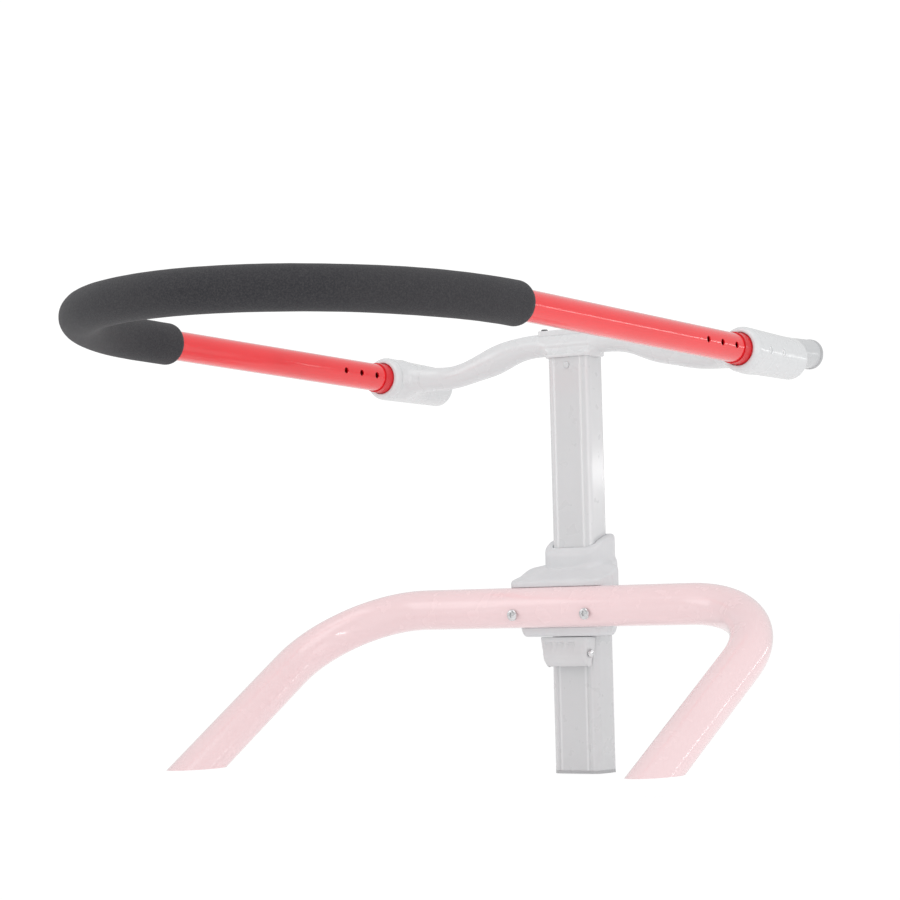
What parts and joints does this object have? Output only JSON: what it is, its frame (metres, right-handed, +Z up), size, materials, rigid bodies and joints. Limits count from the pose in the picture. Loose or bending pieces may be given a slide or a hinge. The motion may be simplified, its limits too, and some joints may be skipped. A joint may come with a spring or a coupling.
{
  "type": "mast with padded loop bar",
  "caption": "Height-adjustable rectangular mast clamped to a bent frame tube, carrying a gull-wing crossbar whose end sleeves hold a foam-padded U-shaped loop bar.",
  "frame": {"origin": "centre of the mast foot's bottom face", "axes": "+X to the user's lateral side, -Y forward towards the padded loop, +Z up along the mast"},
  "size_m": [0.5688, 0.7317, 0.4553],
  "materials": {
    "red_tube": "gloss",
    "foam": "matte",
    "frame_paint": "gloss",
    "column_metal": "satin",
    "white_metal": "gloss",
    "grey_plastic": "satin",
    "red_plastic": "satin",
    "dark_plastic": "satin",
    "steel": "satin",
    "brake_rubber": "matte"
  },
  "bodies": {
    "frame": {"outer_column": "column_metal", "column_end_plug": "grey_plastic", "collar": "grey_plastic", "guide_bush": "grey_plastic", "yoke_tube": "frame_paint", "yoke_screws": "steel", "yoke_nuts": "steel", "yoke_spacers": "steel", "latch_housing": "grey_plastic", "latch_spring": "steel", "latch_pivot_pin": "steel"},
    "latch": {"latch_lever": "grey_plastic"},
    "shoe": {"brake_shoe": "brake_rubber"},
    "mast": {"inner_column": "column_metal", "inner_column_glide": "dark_plastic", "saddle": "white_metal", "saddle_rivets": "steel", "crossbar": "white_metal", "saddle_cap": "white_metal", "saddle_cap_screws": "steel", "left_sleeve": "white_metal", "right_sleeve": "white_metal", "sleeve_bushings": "red_plastic", "sleeve_screws": "steel", "stub_cap": "grey_plastic"},
    "loop": {"loop_tube": "red_tube", "foam_grip": "foam", "loop_end_plugs": "dark_plastic"}
  },
  "joints": [
    {"name": "mast_height", "type": "slide", "parent": "frame", "child": "mast", "axis": [0, 0, 1], "range_m": [-0.08, 0.06]},
    {"name": "loop_reach", "type": "slide", "parent": "mast", "child": "loop", "axis": [0, -0.9986, 0.0523], "range_m": [-0.025, 0.025]},
    {"name": "latch_tilt", "type": "hinge", "parent": "frame", "child": "latch", "pos_m": [0, -0.0277, 0.1186], "axis": [1, 0, 0], "range_deg": [0, 8]},
    {"name": "shoe_release", "type": "slide", "parent": "frame", "child": "shoe", "axis": [0, -1, 0], "range_m": [0, 0.001]}
  ],
  "couplings": [
    {"joint": "shoe_release", "follows": "latch_tilt", "m_per_rad": 0.0071}
  ]
}
